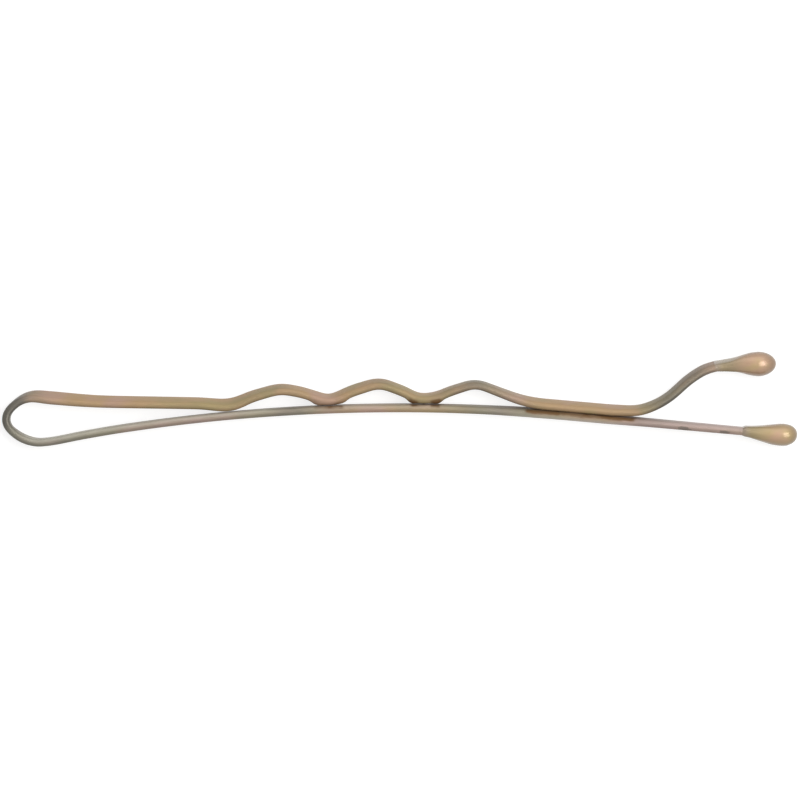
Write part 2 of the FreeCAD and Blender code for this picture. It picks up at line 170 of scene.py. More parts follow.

# The state of the finish by the way from the nose: how much of the lacquer has worn through to
# dark steel, how grey it has gone, its blush from olive at -1 to pink at 1, and how much
# painted light lightens the inner side, or with a minus the outer side. The painted light sets
# in between
# PAINTED_LIGHT_PLACES of the thickness.
FINISH_STATES = (
    (-51.0, 0.00, 0.60, 0.5, 0.5), (-46.0, 0.00, 0.70, 0.7, 0.5),
    (-43.0, 0.05, 0.85, 0.9, 0.4), (-42.0, 0.10, 0.90, 1.0, 0.2),
    (-40.6, 0.15, 0.90, 1.0, 0.0), (-39.5, 0.10, 0.40, 0.5, -0.8),
    (-36.0, 0.05, 0.50, 0.2, -0.9), (-33.5, 0.10, 0.70, -0.1, -0.8),
    (-31.5, 0.20, 1.00, -0.1, 0.1), (-29.5, 0.15, 0.50, -0.2, 0.1),
    (-27.5, 0.00, 0.20, 0.4, 0.3), (-25.0, 0.00, 0.30, 0.1, 0.3),
    (-22.0, 0.00, 0.35, 0.2, 0.4), (-20.0, 0.10, 0.60, 0.0, 0.3),
    (-18.7, 0.35, 0.90, -0.2, 0.1), (-17.8, 0.35, 0.90, -0.1, 0.1),
    (-16.8, 0.10, 0.70, 0.0, 0.5), (-14.0, 0.05, 0.70, 0.1, 0.7),
    (-10.0, 0.05, 0.75, 0.0, 0.6), (-6.0, 0.10, 0.80, -0.6, 0.8),
    (-3.0, 0.25, 1.00, -0.6, 1.0), (-1.5, 0.15, 1.00, -0.5, 0.7),
    (-0.7, 0.25, 1.00, -0.3, 0.1), (-0.3, 0.35, 1.00, 0.0, 0.0),
    (-0.1, 0.55, 1.00, 0.0, 0.0), (0.05, 0.95, 1.00, 0.0, 0.0), (0.5, 1.00, 0.90, 0.0, 0.0),
    (1.1, 0.70, 0.50, 0.4, 0.0), (1.7, 0.20, 0.30, 0.9, 0.1), (3.2, 0.00, 0.10, 0.8, 0.1),
    (5.0, 0.00, 0.00, 0.2, 0.1), (8.0, 0.00, 0.00, -0.3, 0.0),
    (13.0, 0.00, 0.00, -0.2, 0.0), (16.3, 0.15, 0.00, -0.1, 0.0),
    (18.3, 0.00, 0.10, 0.4, 0.0), (20.5, 0.00, 0.00, 0.2, 0.0),
    (24.0, 0.15, 0.00, -0.8, 0.0), (26.8, 0.00, 0.00, -0.5, 0.0),
    (28.6, 0.30, 0.10, -0.4, 0.0), (30.3, 0.40, 0.50, -0.3, 0.0),
    (31.8, 0.15, 0.50, 0.0, 0.0), (34.0, 0.00, 0.05, 0.1, 0.0),
    (38.0, 0.00, 0.00, 0.2, 0.0), (40.4, 0.10, 0.05, 0.0, 0.0),
    (41.5, 0.45, 0.20, -0.9, 0.0), (42.5, 0.65, 0.40, -0.9, 0.0),
    (44.3, 0.55, 0.45, 0.0, 0.0), (45.0, 0.30, 0.35, 0.7, 0.0),
    (45.7, 0.05, 0.20, 0.9, 0.1), (47.0, 0.00, 0.10, 0.3, 0.0),
    (51.0, 0.00, 0.00, 0.0, 0.0),
)
FINISH_BLUR = 0.3
PAINTED_LIGHT_PLACES = (-0.3, 0.9)

# Painted shade on the side of each leg that faces away from the far lamp, which turns the
# lacquer
# towards the steel colour: -1 for the plain leg and 1 for the crimped leg, the ways it starts
# and ends, its fade there, its strength, and the places of the thickness between which it sets
# in
SHADED_SIDES = (
    (-1, 1.5, 17.0, 1.5, 0.22, (0.3, -0.8)),
    (1, 3.0, 31.0, 1.5, 0.10, (-0.2, 1.0)),
    (1, 41.5, 45.0, 0.8, 0.26, (-0.5, 0.9)),
)

# How far the crests are rubbed for each unit of their bending
BEND_RUB = 1.4

# Small dark patches where the lacquer is off: the way from the nose, the place round the
# wire's upper edge in degrees from its outer face, and the half length and half width
CHIPS = ((-43.38, 60, 0.42, 0.14), (-46.0, 57, 0.34, 0.12))

# Where the legs turn, the loop's stretch of the wire ends this length short of the crimped
# leg's flexing point, at the same way from the nose on both legs
FLEX_REACH = 3.4

# The drops look for their wire beyond this share of the pin's length
DROP_LEG_SHARE = 0.8

# A drop of lacquer: the way back from its end, how far its middle is out from the wire's line,
# and its half height and half width there. The last row but one is the fullest section.
PLAIN_DROP = (
    (3.52, 0.000, 0.274, 0.683), (3.45, -0.010, 0.322, 0.730), (3.34, -0.018, 0.354, 0.752),
    (3.10, -0.015, 0.368, 0.758), (2.90, 0.000, 0.402, 0.766), (2.65, 0.015, 0.446, 0.776),
    (2.30, 0.030, 0.516, 0.792), (1.95, 0.036, 0.584, 0.812), (1.60, 0.036, 0.652, 0.838),
    (1.25, 0.020, 0.700, 0.862), (0.95, 0.000, 0.716, 0.870), (0.00, -0.040, 0.000, 0.000),
)
CRIMPED_DROP = (
    (3.95, 0.000, 0.270, 0.680), (3.75, -0.015, 0.282, 0.690), (3.40, -0.035, 0.305, 0.700),
    (3.00, -0.025, 0.358, 0.716), (2.60, -0.010, 0.452, 0.740), (2.25, 0.000, 0.562, 0.772),
    (1.90, -0.008, 0.668, 0.814), (1.55, -0.022, 0.752, 0.862), (1.15, -0.035, 0.790, 0.895),
    (0.00, -0.042, 0.000, 0.000),
)

# Of the plain leg's drop and the crimped leg's: where it ends, how blunt its end is, and its
# blush from olive to pink
DROP_ENDS_X = (25.494, 24.14)
DROP_BLUNTNESS = (0.93, 1.0)
DROP_BLUSH = (-0.3, 0.7)

# How finely a drop and its round end are drawn, and how far its sections run together
DROP_ROWS = 44
NOSE_ROWS = 14
DROP_SMOOTHING = 4

# The ways back from a drop's end between which it turns from the wire's outline to an oval,
# the length of its rim, and how fast the painted shade of its sides closes in at the round end
ROUNDING_START = 3.2
ROUNDING_END = 1.3
RIM_FADE = 0.6
SIDE_FADE = 3

# The colours of the wire's lacquer, of the painted light on one side, of the steel under it,
# which also stands as painted shade on one side, and of the dirt and painted shade in the
# crevice
TAN = (0.400, 0.268, 0.145, 1)
PINK_TAN = (0.420, 0.272, 0.190, 1)
OLIVE_TAN = (0.340, 0.262, 0.130, 1)
GREY_OLIVE = (0.262, 0.250, 0.195, 1)
GREY_TAN = (0.295, 0.255, 0.205, 1)
GREY_PINK = (0.365, 0.280, 0.255, 1)
PAINTED_LIGHT_CREAM = (0.560, 0.535, 0.450, 1)
PAINTED_LIGHT_PINK = (0.600, 0.500, 0.480, 1)
PALE_STEEL = (0.150, 0.140, 0.118, 1)
DARK_STEEL = (0.080, 0.074, 0.064, 1)
DIRT_AND_SHADE_BROWN = (0.125, 0.066, 0.026, 1)

# The colours of the drops: their body, their neck, the rim round the wire and the painted
# shade on their sides
DROP_OLIVE = (0.42, 0.31, 0.155, 1)
DROP_TAN = (0.44, 0.305, 0.170, 1)
DROP_PINK = (0.46, 0.295, 0.195, 1)
NECK_OLIVE = (0.275, 0.215, 0.115, 1)
NECK_TAN = (0.265, 0.205, 0.118, 1)
DROP_RIM = (0.30, 0.235, 0.175, 1)
SHADED_DROP_SIDE = (0.20, 0.145, 0.095, 1)

# The noises in the finishes: the sizes of the grain along the wire, across its thickness and
# up its width, the detail and the roughness. NOISE_SPAN holds most of the values of each.
TONE_GRAIN = ((3.2, 2.0, 1.6), 2.0, 0.55)
STREAK_GRAIN = ((2.5, 0.05, 0.05), 4.0, 0.65)
FINE_GRAIN = ((0.06, 0.06, 0.06), 3.0, 0.55)
PATCH_GRAIN = ((1.1, 0.35, 0.22), 4.0, 0.6)
STAIN_GRAIN = ((1.0, 0.7, 0.6), 2.0, 0.55)
CHIP_GRAIN = ((0.22, 0.10, 0.10), 3.0, 0.55)
DROP_TONE_GRAIN = ((1.3, 0.9, 0.9), 2.0, 0.55)
DROP_FINE_GRAIN = ((0.09, 0.09, 0.09), 3.0, 0.55)
DROP_WAVE_GRAIN = ((0.7, 0.45, 0.45), 1.0, 0.55)
NOISE_SPAN = (0.3, 0.7)

# How the tone, which a blush pulls up or down, goes from olive to pink
BLUSH_PULL = 0.14
DROP_BLUSH_PULL = 0.2
FRESH_TONES = ((0.34, OLIVE_TAN), (0.47, TAN), (0.56, TAN), (0.70, PINK_TAN))
DULL_TONES = ((0.36, GREY_OLIVE), (0.50, GREY_TAN), (0.68, GREY_PINK))
DROP_TONES = ((0.35, DROP_OLIVE), (0.5, DROP_TAN), (0.65, DROP_PINK))
NECK_TONES = ((0.35, NECK_OLIVE), (0.65, NECK_TAN))
PAINTED_LIGHT_BLUSHES = (0, 0.6)

# How deep the marks in the finishes are
STREAK_DEPTH = 0.004
FINE_DEPTH = 0.002
CHIP_DEPTH = 0.012
DROP_WAVE_DEPTH = 0.006
DROP_FINE_DEPTH = 0.0025

# The wear of the wire: how strong it is at the edges, on the crests and in a chip, between
# which heights up the width an edge sets in, and how the patches thin it out and spread it.
# The four numbers of a range are from and to in the noise, and the least and the most.
EDGE_WEAR = 0.20
CREST_WEAR = 0.3
CHIP_WEAR = 0.7
EDGE_PLACES = (0.44, 0.66)
WEAR_PATCHES = (0.36, 0.58, 0.45, 1.0)
WEAR_SPREAD = (0.8, 1.1)

# The dirt and painted shade of the crevice: how far its ends fray, its blotches, and between
# which heights these stop
FRAYING = (-1.8, 1.8)
BLOTCHES = (0.33, 0.62, 0.45, 0.95)
UNBLOTCHED_PLACES = (0.25, 0.55)

# A chip's edge: how ragged it is, and where it ends and is whole, in half sizes of the chip
CHIP_RAGGEDNESS = 1.6
CHIP_EDGE = (1.95, 1.70)
NO_CHIP = 9.0

# The surfaces: the least and the most metal and roughness, the gloss, the drops' clear coat
WIRE_METAL = (0.1, 0.45)
WIRE_ROUGHNESS = (0.38, 0.52)
DROP_METAL = 0.2
DROP_ROUGHNESS = (0.32, 0.38)
SPECULAR = 0.2
DROP_COAT = 0.5
DROP_COAT_ROUGHNESS = 0.22

# How far a drop's colour goes to its painted shade: from and to round its sides, the least
# and the most
DROP_SIDE_SHADING = (0.08, 0.75, 0.0, 0.62)

# The white table: half its size and how far it lies below the pin, in metres, its colour, its
# roughness, and the glow that takes it to white
TABLE_REACH = 3.0
TABLE_DEPTH = 0.00002
TABLE_COLOUR = (0.35, 0.35, 0.35, 1)
TABLE_ROUGHNESS = 0.9
FLOOR_GLOW = 0.77

# The light of the room on the pin, and the lamps: name, place and size in metres, power in
# watts and colour
WHITE = (1, 1, 1)
ROOM_LIGHT = 0.28
LAMPS = (
    ("key_lamp", (0.23, 0.03, 0.49), (0.44, 0.32), 2.45, (1.0, 0.98, 0.95)),
    ("far_lamp", (0.0, 0.40, 0.28), (0.6, 0.4), 0.85, WHITE),
    ("near_lamp", (0.0, -0.40, 0.28), (0.6, 0.4), 0.1, WHITE),
)

# The photograph's frame: its width in real size, and where its middle lies on the pin. The
# clipping distances of the camera are in metres.
PICTURE_WIDTH = 51.29
PICTURE_CENTRE = (0.035, -0.066)
CAMERA_HEIGHT = 350.0
SENSOR_WIDTH = 36.0
CLIP_START = 0.01
CLIP_END = 20

half_thickness = WIRE_THICKNESS / 2
half_width = WIRE_WIDTH / 2
half_length = PIN_LENGTH / 2
edge_radius = half_thickness - FACE_CROWN
bow_radius = (half_length ** 2 + BOW_RISE ** 2) / (2 * BOW_RISE)


class Bend:
    """A round bend of the wire's centre line; turn is 1 to the left and -1 to the right."""

    def __init__(self, x, y, radius, turn):
        self.x = x
        self.y = y
        self.radius = radius
        self.turn = turn

    def point(self, heading):
        """Where the bend has this heading."""
        reach = self.turn * self.radius
        x = self.x + reach * math.sin(heading)
        y = self.y - reach * math.cos(heading)
        return np.array((x, y))

    def arc(self, enters, leaves):
        """Points along the bend between two headings."""
        count = max(2, math.ceil(abs(leaves - enters) * self.radius / STEP))
        return [self.point(heading) for heading in np.linspace(enters, leaves, count + 1)]


def sine(angle):
    """The sine of an angle in degrees."""
    return math.sin(math.radians(angle))


def cosine(angle):
    """The cosine of an angle in degrees."""
    return math.cos(math.radians(angle))


def bow_height(x):
    """How high the bow of the plain leg is at x, from its top."""
    return math.sqrt(bow_radius ** 2 - x ** 2) - bow_radius


def loop_bends():
    """The lower shoulder, the nose and the upper shoulder."""
    nose_x = -half_length + half_thickness + NOSE_RADIUS
    lower_step = LOWER_SHOULDER_RADIUS - NOSE_RADIUS
    upper_step = UPPER_SHOULDER_RADIUS - NOSE_RADIUS
    across = LOOP_FLAT * sine(NOSE_HALF_ANGLE)
    up = LOOP_FLAT * cosine(NOSE_HALF_ANGLE)
    lower_x = nose_x + lower_step * cosine(NOSE_HALF_ANGLE) + across
    reach = bow_radius + LOWER_SHOULDER_RADIUS
    lower_y = math.sqrt(reach ** 2 + LOOP_LEAD ** 2 - lower_x ** 2) - bow_radius
    nose_y = lower_y - lower_step * sine(NOSE_HALF_ANGLE) + up
    upper_x = nose_x + upper_step * cosine(NOSE_HALF_ANGLE) + across
    upper_y = nose_y - upper_step * sine(NOSE_HALF_ANGLE) + up
    return [
        Bend(lower_x, lower_y, LOWER_SHOULDER_RADIUS, -1),
        Bend(nose_x, nose_y, NOSE_RADIUS, -1),
        Bend(upper_x, upper_y, UPPER_SHOULDER_RADIUS, -1),
    ]


def crimp_bends():
    """A valley and a crest for each crimp, from the loop towards the tips."""
    bends = []
    for index in range(3):
        crest_x = MIDDLE_CREST_X + (index - 1) * CRIMP_PITCH
        valley_x = crest_x - VALLEY_SHARES[index] * CRIMP_PITCH
        reach = bow_radius + WIRE_THICKNESS + VALLEY_GAPS[index] + VALLEY_RADII[index]
        valley_y = math.sqrt(reach ** 2 - valley_x ** 2) - bow_radius
        crest_top = bow_height(crest_x) + WIRE_THICKNESS + CREST_CLEARANCES[index]
        bends.append(Bend(valley_x, valley_y, VALLEY_RADII[index], 1))
        bends.append(Bend(crest_x, crest_top - CREST_RADII[index], CREST_RADII[index], -1))
    return bends


def easing_bend(shoulder, valley):
    """The long bend between the loop and the first valley."""
    rise = valley.y - valley.radius - shoulder.y - shoulder.radius
    direct = math.degrees(math.asin(rise / (valley.x - shoulder.x)))
    steep = direct - STEEP_SHARE * EASING_ANGLE
    flat = steep + EASING_ANGLE
    off_shoulder = EASING_RADIUS + shoulder.radius
    off_shoulder += shoulder.y * cosine(steep) - shoulder.x * sine(steep)
    off_valley = EASING_RADIUS - valley.radius + valley.y * cosine(flat)
    off_valley -= valley.x * sine(flat)
    x = (off_shoulder * cosine(flat) - off_valley * cosine(steep)) / sine(EASING_ANGLE)
    y = (off_shoulder * sine(flat) - off_valley * sine(steep)) / sine(EASING_ANGLE)
    return Bend(x, y, EASING_RADIUS, 1)


def landing_bend(crest):
    """The bend that lays the crimped leg down on the plain leg."""
    reach = bow_radius + WIRE_THICKNESS + CONTACT_GAP + LANDING_RADIUS
    rise = crest.x * sine(LANDING_ANGLE) + (crest.y + bow_radius) * cosine(LANDING_ANGLE)
    rise += LANDING_RADIUS + crest.radius
    run = math.sqrt(reach ** 2 - rise ** 2)
    x = rise * sine(LANDING_ANGLE) - run * cosine(LANDING_ANGLE)
    y = rise * cosine(LANDING_ANGLE) + run * sine(LANDING_ANGLE) - bow_radius
    return Bend(x, y, LANDING_RADIUS, 1)


def brow_bend():
    """The bend over the mouth, from its slope to the level stretch in the tip."""
    x = BROW_END_X + BROW_RADIUS * sine(BROW_ANGLE)
    return Bend(x, BROW_HEIGHT - BROW_RADIUS, BROW_RADIUS, -1)


def turn_up_bend(brow):
    """The bend that lifts the crimped leg off the plain leg, up the mouth's slope."""
    bow_slope = math.degrees(math.asin(BOW_END / bow_radius))
    offset = WIRE_THICKNESS + CONTACT_GAP + TURN_UP_RADIUS
    off_leg = bow_radius + offset - bow_radius * cosine(bow_slope)
    off_mouth = TURN_UP_RADIUS + BROW_RADIUS - brow.x * sine(MOUTH_ANGLE)
    off_mouth += brow.y * cosine(MOUTH_ANGLE)
    spread = sine(bow_slope + MOUTH_ANGLE)
    x = (off_leg * cosine(MOUTH_ANGLE) - off_mouth * cosine(bow_slope)) / spread
    y = (off_leg * sine(MOUTH_ANGLE) + off_mouth * sine(bow_slope)) / spread
    return Bend(x, y, TURN_UP_RADIUS, 1)


def tangent_heading(first, second):
    """The heading of the straight stretch between two bends."""
    across, along = second.x - first.x, second.y - first.y
    offset = second.turn * second.radius - first.turn * first.radius
    return math.atan2(along, across) - math.asin(offset / math.hypot(across, along))


def straight(start, end):
    """Points along a straight stretch, without its two ends."""
    count = max(1, math.ceil(math.dist(start, end) / STEP))
    return [start + (end - start) * step / count for step in range(1, count)]


def run_on(point, heading, end_x):
    """Where the wire is at end_x when it runs straight on from a point."""
    return point + (end_x - point[0]) * np.array((1, math.tan(heading)))


def centre_line():
    """The wire's centre line, from the plain leg's end round the loop to the crimped leg's."""
    loop, crimps, brow = loop_bends(), crimp_bends(), brow_bend()
    easing = easing_bend(loop[-1], crimps[0])
    bow = Bend(0.0, -bow_radius, bow_radius, 1)
    bends = [bow, *loop, easing, *crimps, landing_bend(crimps[-1]), turn_up_bend(brow), brow]
    enters = math.pi - math.asin(BOW_END / bow_radius)
    headings = [enters] + [tangent_heading(*pair) for pair in zip(bends, bends[1:])]
    headings.append(math.radians(BROW_ANGLE))
    for index in range(1, len(headings)):
        turns = round((headings[index] - headings[index - 1]) / math.tau)
        headings[index] -= turns * math.tau
    points = []
    for bend, enters, leaves in zip(bends, headings, headings[1:]):
        arc = bend.arc(enters, leaves)
        if points:
            points += straight(points[-1], arc[0])
        points += arc
    first = run_on(points[0], headings[0], WIRE_ENDS_X[0])
    last = run_on(points[-1], headings[-1], WIRE_ENDS_X[1])
    points = [first, *straight(first, points[0]), *points, *straight(points[-1], last), last]
    return np.array(points)


def smooth(values, rounds):
    """Eases the corners of a run of values, in place; its two ends stay."""
    for _ in range(rounds):
        values[1:-1] = (values[:-2] + 2 * values[1:-1] + values[2:]) / 4


def evened(points):
    """The same line with its points a steady step apart and its bends run into each other."""
    way = np.concatenate(([0], np.cumsum(np.hypot(*np.diff(points, axis=0).T))))
    even = np.linspace(0, way[-1], math.ceil(way[-1] / STEP) + 1)
    line = np.column_stack([np.interp(even, way, points[:, axis]) for axis in (0, 1)])
    smooth(line, SMOOTHING_ROUNDS)
    return line


def frame_shift():
    """From the line's own origin, the top of the bow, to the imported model's."""
    nose_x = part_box("spring_bend")[0].x / MM
    bow_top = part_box("straight_leg")[1].y / MM
    low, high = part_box("crimped_leg")
    return nose_x + half_length, bow_top - half_thickness, (low.z + high.z) / 2 / MM


def steps_up(value, start, end):
    """0 before start, 1 after end, and smooth between them."""
    share = np.clip((value - start) / (end - start), 0, 1)
    return share * share * (3 - 2 * share)


class Wire:
    """The line of the wire, with its heading, its curvature and its twist at each point."""

    def __init__(self):
        shift_x, shift_y, self.middle = frame_shift()
        line = evened(centre_line()) + (shift_x, shift_y)
        run = np.gradient(line, axis=0)
        self.pace = np.hypot(*run.T)
        self.along = np.cumsum(self.pace)
        self.heading = np.unwrap(np.arctan2(run[:, 1], run[:, 0]))
        self.bending = np.gradient(self.heading) / self.pace
        self.nose = int(np.argmin(line[:, 0]))
        self.way = line[:, 0] - line[self.nose, 0]
        self.way[:self.nose] *= -1
        self.twist = np.radians(self.spread(TWISTS, TWIST_BLUR))
        self.touches = [self.stretch(*contact[:3]) * contact[3] for contact in CONTACTS]
        self.side_shading = [self.stretch(*side[1:4]) * side[4] * (self.way * side[0] > 0)
                        for side in SHADED_SIDES]
        self.left = np.column_stack((-np.sin(self.heading), np.cos(self.heading)))
        standing = self.stretch(*STANDING_SPAN, STANDING_RAMP) * (self.way > 0)
        under = np.radians(np.interp(-self.way, *np.array(TWISTS).T))
        lean = abs(np.sin(self.twist) + np.sin(under))
        lift = standing * ((half_width - half_thickness) * lean - CONTACT_GAP + CLOSE_GAP)
        self.line = line + (lift + self.spread(NUDGES, NUDGE_BLUR))[:, None] * self.left
        self.lumps = self.spread(LUMPS, LUMP_BLUR)
        self.states = [self.spread(FINISH_STATES, FINISH_BLUR, column)
                       for column in (1, 2, 3, 4)]

    def spread(self, table, blur, column=1):
        """A column of a table by the way from the nose, at each point and without corners."""
        rows = np.array(table)
        values = np.interp(self.way, rows[:, 0], rows[:, column])
        window = max(1, round(blur / STEP))
        kernel = np.ones(2 * window + 1) / (2 * window + 1)
        return np.convolve(np.pad(values, window, mode="edge"), kernel, mode="valid")

    def stretch(self, start, end, ramp):
        """1 between two distances from the nose on either leg, and 0 away from there."""
        way = abs(self.way)
        return steps_up(way, start - ramp, start) * (1 - steps_up(way, end, end + ramp))

    def place(self, index, out, up, twisted=1.0):
        """A point off the line, out from the pin and up its width, turned by the twist."""
        angle = self.twist[index] * twisted
        aside = out * math.cos(angle) - up * math.sin(angle)
        height = out * math.sin(angle) + up * math.cos(angle)
        x, y = self.line[index] + aside * self.left[index]
        return (x * MM, y * MM, (self.middle + height) * MM)

    def between(self, start, end):
        """The points between two ways from the nose; stretches that meet share a point."""
        first, last = (int(np.argmin(abs(self.way - limit))) for limit in (start, end))
        return range(first, last + 1)


def section():
    """The wire's outline: crowned faces and round edges, as (out, up) pairs."""
    radius, reach = edge_radius, half_width - edge_radius
    face = np.linspace(-1, 1, FACE_POINTS)
    edge = np.radians(np.linspace(0, 180, EDGE_POINTS))[1:-1]
    outer = [(radius + FACE_CROWN * (1 - v * v), reach * v) for v in face]
    top = [(radius * math.cos(a), reach + radius * math.sin(a)) for a in edge]
    inner = [(-out, -up) for out, up in outer]
    bottom = [(-out, -up) for out, up in top]
    return outer + top + inner + bottom


def loft(name, rings, pole=None):
    """A closed mesh through rings of points, ending flat or at a pole beyond the last ring."""
    count = len(rings[0])
    points = [point for ring in rings for point in ring]
    faces = []
    for low in range(0, (len(rings) - 1) * count, count):
        for index in range(count):
            after = (index + 1) % count
            faces.append((low + index, low + after, low + count + after, low + count + index))
    last = (len(rings) - 1) * count
    faces.append(tuple(range(count - 1, -1, -1)))
    if pole is None:
        faces.append(tuple(range(last, last + count)))
    else:
        points.append(pole)
        top = len(points) - 1
        faces += [(last + index, last + (index + 1) % count, top) for index in range(count)]
    mesh = bpy.data.meshes.new(name)
    mesh.from_pydata(points, [], faces)
    mesh.shade_smooth()
    flat_ends = {frozenset((i, (i + 1) % count)) for i in range(count)}
    if pole is None:
        flat_ends |= {frozenset((last + i, last + (i + 1) % count)) for i in range(count)}
    sharp = mesh.attributes.new("sharp_edge", "BOOLEAN", "EDGE")
    values = [frozenset(edge.vertices) in flat_ends for edge in mesh.edges]
    sharp.data.foreach_set("value", values)
    piece = bpy.data.objects.new(name, mesh)
    bpy.context.scene.collection.objects.link(piece)
    return piece


def store(piece, name, values):
    """Keeps a number or a vector at each point of a piece, for its material."""
    values = np.array(values, dtype=np.float32)
    kind = "FLOAT_VECTOR" if values.ndim > 1 else "FLOAT"
    field = "vector" if values.ndim > 1 else "value"
    piece.data.attributes.new(name, kind, "POINT").data.foreach_set(field, values.ravel())


def stain_wander(up):
    """How many points of the line the ends of a stain wander, away from the upper edge."""
    wander = sum(height * math.sin(pace * up + start) for height, pace, start in STAIN_WAVES)
    return wander * steps_up(STAIN_EDGE - up, 0, STAIN_FADE)


def finish_at(wire, index, side, up):
    """How rubbed a point of the wire is, how soiled and shaded in the crevice, and how much
    painted light lightens it; how worn, with painted shade on the side away from the far lamp,
    and how grey and pink it is.
    """
    rub = np.clip(-wire.bending[index] * BEND_RUB, 0, 1) * max(side, 0)
    # Dirt and painted shade in the crevice where the legs touch
    reaches = [contact[4 + (wire.way[index] > 0)] for contact in CONTACTS]
    wandered = min(max(index + round(stain_wander(up)), 0), len(wire.way) - 1)
    soil_and_shade = max(touch[wandered] * steps_up(-side, *reach)
               for touch, reach in zip(wire.touches, reaches))
    # Painted shade on the side that faces away from the far lamp
    side_shade = sum(side_shading[index] * steps_up(-side, *row[5])
               for side_shading, row in zip(wire.side_shading, SHADED_SIDES))
    through, greyed, blush, painted_light = (state[index] for state in wire.states)
    # Painted light that lightens one side of the wire
    painted_light_share = abs(painted_light) * steps_up(-side if painted_light > 0 else side, *PAINTED_LIGHT_PLACES)
    return (rub, soil_and_shade, painted_light_share), (through + side_shade, greyed, blush)


def make_wire(name, wire, span):
    """A stretch of the wire, with the coordinates of the straightened wire for its finish."""
    rings, rolled, marks, states = [], [], [], []
    for index in wire.between(*span):
        ring = []
        for out, up in section():
            side = out / half_thickness
            lump = wire.lumps[index] * steps_up(-side, *LUMP_PLACES)
            wide = up * (1 + CROSS_STRAIN * wire.bending[index] * out)
            ring.append(wire.place(index, out - lump, wide))
            rolled.append((wire.along[index], out, up))
            mark, state = finish_at(wire, index, side, up)
            marks.append(mark)
            states.append(state)
        rings.append(ring)
    piece = loft(name, rings)
    store(piece, "rolled", rolled)
    store(piece, "marks", marks)
    store(piece, "states", states)
    return piece


def oval(half_height, half_wide):
    """An oval with as many points as the wire's outline, in the same order."""
    pairs = []
    for out, up in section():
        angle = math.atan2(up / half_width, out / half_thickness)
        pairs.append((half_height * math.cos(angle), half_wide * math.sin(angle)))
    return pairs


def drop_sections(table, bluntness):
    """Sections of a drop: the way back, how far out, half height, half width and shrinking."""
    nose = table[-2, 0]
    backs = np.linspace(table[0, 0], nose, DROP_ROWS)
    turns = np.radians(np.linspace(0, 90, NOSE_ROWS + 1))[1:-1]
    all_backs = np.concatenate((backs, nose * (1 - np.sin(turns) ** bluntness)))
    aside = np.interp(-all_backs, -table[:, 0], table[:, 1])
    tall, wide = (np.interp(-backs, -table[:-1, 0], table[:-1, k]) for k in (2, 3))
    for values in (aside, tall, wide):
        smooth(values, DROP_SMOOTHING)
    shrink = np.concatenate((np.ones(DROP_ROWS), np.cos(turns) ** bluntness))
    tall, wide = (np.pad(v, (0, len(turns)), mode="edge") * shrink for v in (tall, wide))
    return zip(all_backs, aside, tall, wide, shrink)


def make_drop(name, wire, rows, which, leg):
    """A drop of lacquer on the end of a leg: it coats the wire, swells and ends round."""
    table = np.array(rows)
    end_x = DROP_ENDS_X[which]
    leg_points = np.array(leg)
    xs = wire.line[leg_points, 0]
    order = np.argsort(xs)
    rings, rolled, swell, sides = [], [], [], []
    for back, off, height, width, scale in drop_sections(table, DROP_BLUNTNESS[which]):
        x = end_x - back
        index = leg_points[order][min(np.searchsorted(xs[order], x), len(xs) - 1)]
        beyond = max(0.0, x - xs[order][-1])
        share = steps_up(-back, -ROUNDING_START, -ROUNDING_END)
        rim = 1 - steps_up(table[0, 0] - back, 0, RIM_FADE)
        ring = []
        for (out, up), (oval_out, oval_up) in zip(section(), oval(height, width)):
            out = out * height / half_thickness * (1 - share) + oval_out * share
            up = up * width / half_width * (1 - share) + oval_up * share
            point = wire.place(index, out + off, up, 1 - share)
            ring.append((x * MM + point[0] - wire.line[index, 0] * MM,
                         point[1] + beyond * MM * math.tan(wire.heading[index]), point[2]))
            rolled.append((x, out, up))
            swell.append((share, DROP_BLUSH[which], rim))
            # Painted shade, stronger round the sides and at the round end
            sides.append(share * (1 - min(1, abs(up) * scale ** SIDE_FADE / width)))
        rings.append(ring)
    middle = np.mean(np.array(rings[-1]), axis=0)
    piece = loft(name, rings, (end_x * MM, middle[1], middle[2]))
    store(piece, "rolled", rolled + [(end_x, 0, 0)])
    store(piece, "swell", swell + [(1, DROP_BLUSH[which], 0)])
    store(piece, "sides", sides + [1])
    return piece


